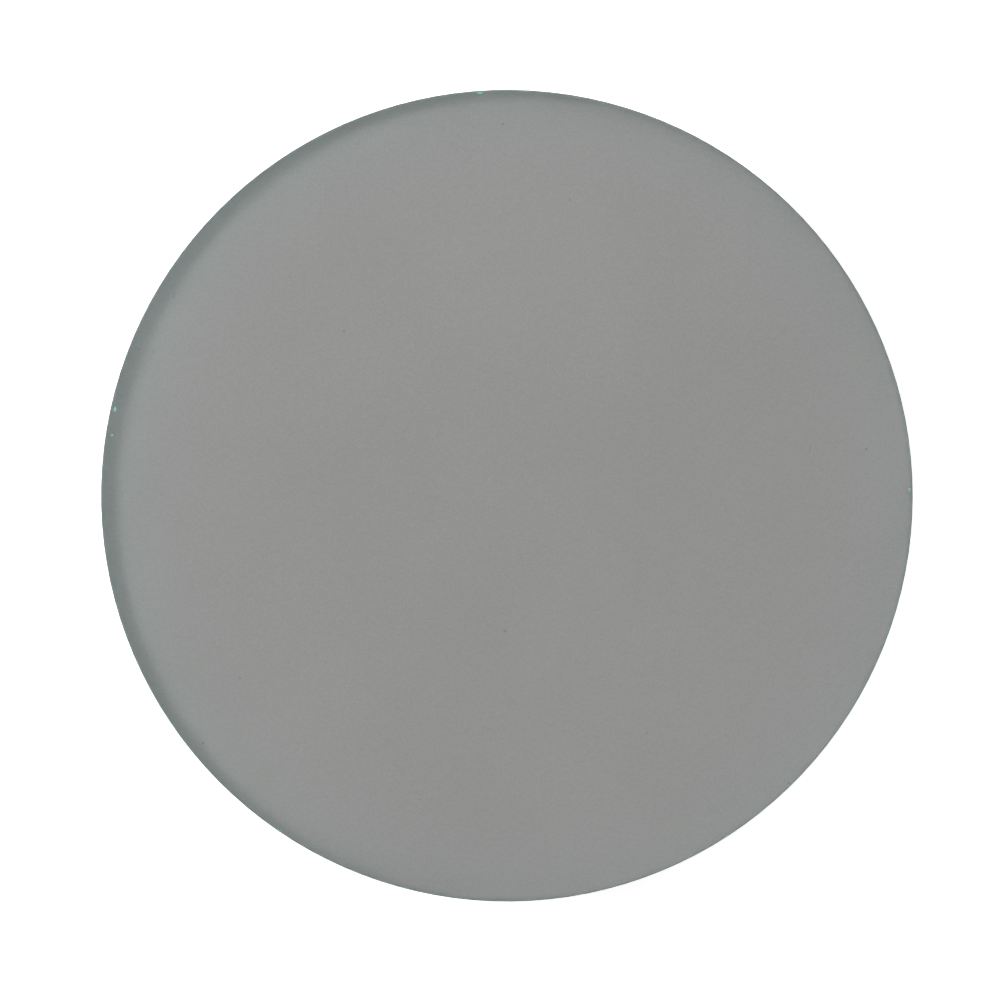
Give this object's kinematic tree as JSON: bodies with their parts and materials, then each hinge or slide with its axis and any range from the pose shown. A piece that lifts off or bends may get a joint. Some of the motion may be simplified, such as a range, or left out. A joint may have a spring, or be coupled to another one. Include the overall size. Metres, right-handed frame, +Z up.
{
  "type": "manhole cover",
  "caption": "Round plain-faced walk-on glass manhole cover, hinged and latched over a bolted steel frame with a rubber edge seal.",
  "frame": {"origin": "on the opening's axis, in the plane that the frame's gasket stands on", "axes": "+Z up along the opening's axis; hinge at +Y, latch at -Y"},
  "size_m": [0.6999, 0.7, 0.1225],
  "materials": {
    "etched_glass": "satin",
    "float_glass": "gloss",
    "grey_film": "matte",
    "black_silicone": "satin",
    "foam_tape": "matte",
    "stainless_plate": "satin",
    "cast_steel": "matte",
    "turned_steel": "polished",
    "fastener_steel": "satin",
    "spring_steel": "satin",
    "seal_rubber": "matte",
    "grip_rubber": "matte",
    "bronze": "satin",
    "bearing_plastic": "satin"
  },
  "bodies": {
    "frame": {"base_gasket": "seal_rubber", "base_flange": "stainless_plate", "neck_ring": "stainless_plate", "neck_gussets": "stainless_plate", "neck_seal": "seal_rubber", "hinge_bracket_right": "stainless_plate", "hinge_bracket_left": "stainless_plate", "bracket_screws": "fastener_steel", "hinge_pin_right": "turned_steel", "hinge_pin_left": "turned_steel", "hinge_circlips": "spring_steel", "hinge_washers": "bearing_plastic", "latch_bush": "stainless_plate", "latch_liner": "bearing_plastic"},
    "lid": {"top_glass_ply": "etched_glass", "grey_interlayer": "grey_film", "bottom_glass_ply": "float_glass", "bond_bead": "black_silicone", "spacer_tape": "foam_tape", "carrier_ring": "stainless_plate", "locating_tabs": "stainless_plate", "hinge_lug_right": "stainless_plate", "hinge_lug_left": "stainless_plate", "lug_screws": "fastener_steel", "hinge_bush_right": "bronze", "hinge_bush_left": "bronze", "striker_pad": "stainless_plate", "striker_leg": "stainless_plate", "striker_foot": "stainless_plate", "striker_screws": "fastener_steel"},
    "latch": {"latch_spindle": "turned_steel", "lever_washer": "bearing_plastic", "latch_lever": "cast_steel", "lever_grip": "grip_rubber", "lever_screw": "fastener_steel", "latch_cam": "cast_steel", "cam_nut": "fastener_steel"}
  },
  "joints": [
    {"name": "lid_hinge", "type": "hinge", "parent": "frame", "child": "lid", "pos_m": [0, 0.326, 0.063], "axis": [-1, 0, 0], "range_deg": [0, 105]},
    {"name": "latch_turn", "type": "hinge", "parent": "frame", "child": "latch", "pos_m": [0, -0.3, 0.045], "axis": [0, 1, 0], "range_deg": [0, 90]}
  ]
}
